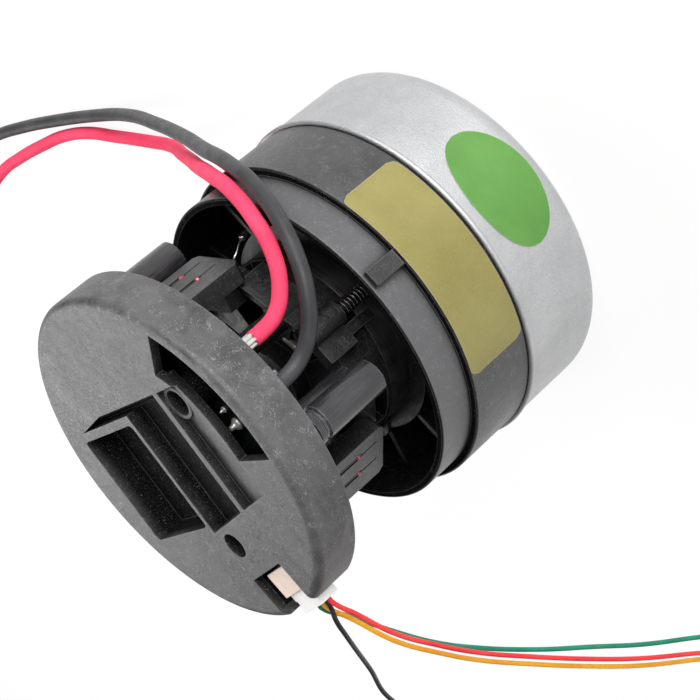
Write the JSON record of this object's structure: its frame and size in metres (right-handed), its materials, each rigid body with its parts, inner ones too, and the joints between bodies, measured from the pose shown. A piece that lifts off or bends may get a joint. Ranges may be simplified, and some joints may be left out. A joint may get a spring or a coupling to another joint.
{
  "type": "vacuum cleaner motor",
  "caption": "Cylindrical brushless fan motor with a drawn metal fan cover, open motor frame, round controller cap, supply leads and a plugged signal harness.",
  "frame": {"origin": "centre of the air inlet face of the fan cover, on the shaft's axis, where the motor stands", "axes": "+Z along the shaft from the fan cover to the controller cap; -X towards the signal connector at the cap's rim"},
  "size_m": [0.2993, 0.2492, 0.0942],
  "materials": {
    "cover_metal": "drawn aluminium, satin, with fine specks and small dents",
    "black_nylon": "glass-filled nylon, black, pale speckle",
    "grey_nylon": "glass-filled nylon, dark grey, flow marks and pale speckle",
    "fan_metal": "turned aluminium",
    "steel": "ground steel",
    "black_steel": "black oxide steel",
    "core_steel": "stacked steel sheet",
    "magnet": "coated magnet",
    "brass": "turned brass",
    "copper": "varnished copper wire",
    "enamel": "red enamelled winding wire",
    "board": "black solder resist over glass fibre",
    "chip": "moulded epoxy",
    "sleeve": "black shrink sleeve over aluminium",
    "header": "pinkish beige nylon",
    "plug": "white nylon",
    "tin": "tinned copper",
    "red_silicone": "pink-red silicone insulation",
    "black_silicone": "black silicone insulation",
    "red_wire": "red insulation",
    "yellow_wire": "orange-yellow insulation",
    "green_wire": "green insulation",
    "black_wire": "black insulation"
  },
  "bodies": {
    "motor": {"fan_cover": "cover_metal", "diffuser": "black_nylon", "diffuser_vanes": "black_nylon", "housing": "black_nylon", "stator_vanes": "black_nylon", "motor_hub": "black_nylon", "front_bearing_outer": "steel", "front_bearing_balls": "steel", "stator_core": "core_steel", "lower_insulator": "black_nylon", "upper_insulator": "black_nylon", "coil_1": "copper", "coil_2": "copper", "coil_3": "copper", "motor_frame": "black_nylon", "terminal_posts": "black_nylon", "rear_bearing_outer": "steel", "rear_bearing_balls": "steel", "preload_washer": "steel", "frame_screws": "black_steel", "circuit_board": "board", "power_switches": "chip", "control_chips": "chip", "capacitor_1": "sleeve", "capacitor_2": "sleeve", "capacitor_3": "sleeve", "board_header": "header", "header_pins": "tin", "signal_plug": "plug", "plug_contacts": "tin", "red_crimp": "tin", "black_crimp": "tin", "controller_cap": "grey_nylon", "cap_screws": "black_steel", "red_lead": "red_silicone", "black_lead": "black_silicone", "signal_red": "red_wire", "signal_black": "black_wire", "signal_yellow": "yellow_wire", "signal_green": "green_wire", "red_lead_tip": "tin", "black_lead_tip": "tin", "end_plug": "plug", "end_contacts": "tin", "winding_ends": "enamel"},
    "rotor": {"impeller": "fan_metal", "impeller_blades": "fan_metal", "impeller_shroud": "fan_metal", "impeller_nut": "steel", "spacer_sleeve": "steel", "front_bearing_inner": "steel", "shaft": "steel", "rotor_magnet": "magnet", "lower_balance_ring": "brass", "upper_balance_ring": "brass", "rear_bearing_inner": "steel"}
  },
  "joints": [
    {"name": "rotor_spin", "type": "hinge", "parent": "motor", "child": "rotor", "pos_m": [0, 0, 0.042], "axis": [0, 0, 1], "continuous": true}
  ]
}
